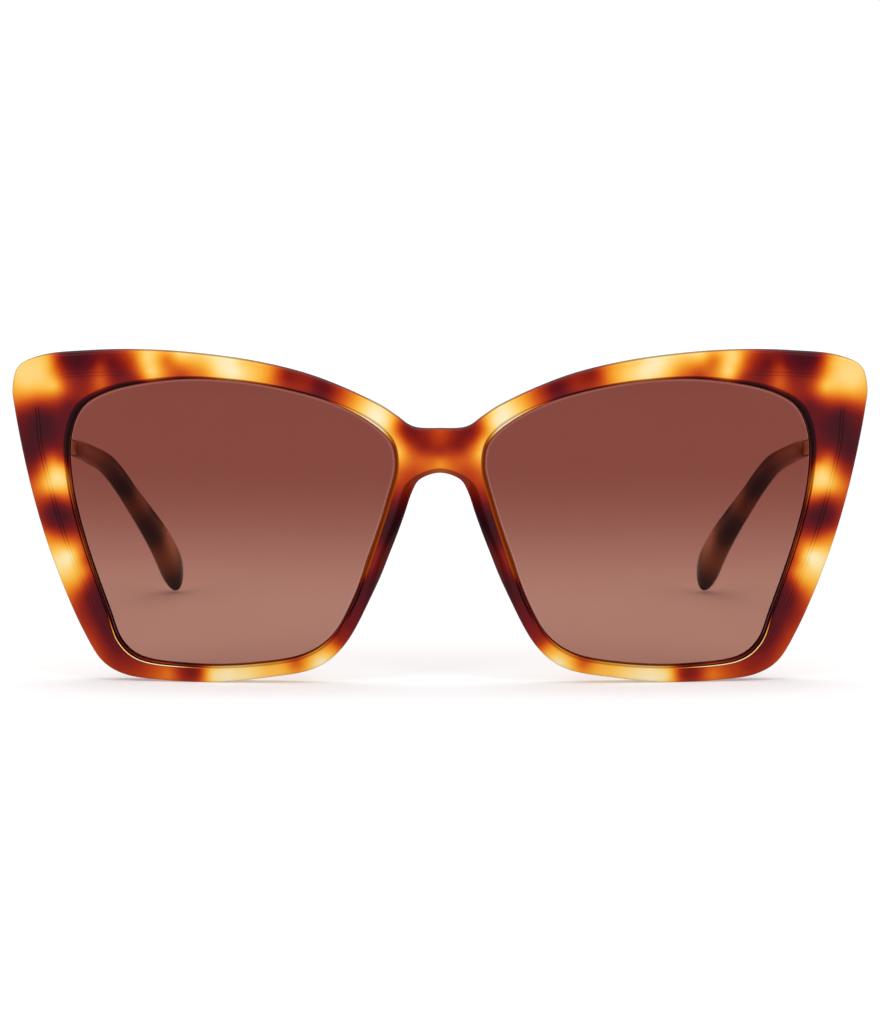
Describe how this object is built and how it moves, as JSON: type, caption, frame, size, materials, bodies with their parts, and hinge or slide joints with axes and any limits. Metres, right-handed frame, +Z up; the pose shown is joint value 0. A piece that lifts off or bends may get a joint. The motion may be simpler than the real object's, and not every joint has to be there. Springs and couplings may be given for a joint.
{
  "type": "cat eye sunglasses",
  "caption": "Cat eye sunglasses with a thick acetate front, tinted lenses and slim folding metal temples with acetate tips.",
  "frame": {"origin": "under the middle of the whole object with the temples open, on the surface that it stands on", "axes": "+Z up, -Y the way the wearer looks, +X to the wearer's left; the temples run back along +Y"},
  "size_m": [0.147, 0.1452, 0.0569],
  "materials": {
    "tortoise_acetate": "polished amber tortoise",
    "temple_tip_acetate": "polished dark tortoise",
    "tinted_lens": "brown gradient tint, darker at the top",
    "gold_metal": "polished pale gold plating",
    "steel_screw": "satin turned steel"
  },
  "bodies": {
    "front": {"front_frame": "tortoise_acetate", "lens_left": "tinted_lens", "lens_right": "tinted_lens", "nose_pad_left": "tortoise_acetate", "nose_pad_right": "tortoise_acetate", "hinge_front_leaf_left": "gold_metal", "hinge_front_leaf_right": "gold_metal", "hinge_leaf_screw_lower_left": "steel_screw", "hinge_leaf_screw_lower_right": "steel_screw", "hinge_leaf_screw_upper_left": "steel_screw", "hinge_leaf_screw_upper_right": "steel_screw", "hinge_pin_screw_left": "steel_screw", "hinge_pin_screw_right": "steel_screw"},
    "left_temple": {"hinge_temple_leaf_left": "gold_metal", "temple_arm_left": "gold_metal", "temple_tip_left": "temple_tip_acetate"},
    "right_temple": {"hinge_temple_leaf_right": "gold_metal", "temple_arm_right": "gold_metal", "temple_tip_right": "temple_tip_acetate"}
  },
  "joints": [
    {"name": "left_temple_fold", "type": "hinge", "parent": "front", "child": "left_temple", "pos_m": [0.0662, -0.05674, 0.0434], "axis": [0, 0, 1], "range_deg": [0, 84]},
    {"name": "right_temple_fold", "type": "hinge", "parent": "front", "child": "right_temple", "pos_m": [-0.0662, -0.05674, 0.0434], "axis": [0, 0, -1], "range_deg": [0, 78]}
  ]
}
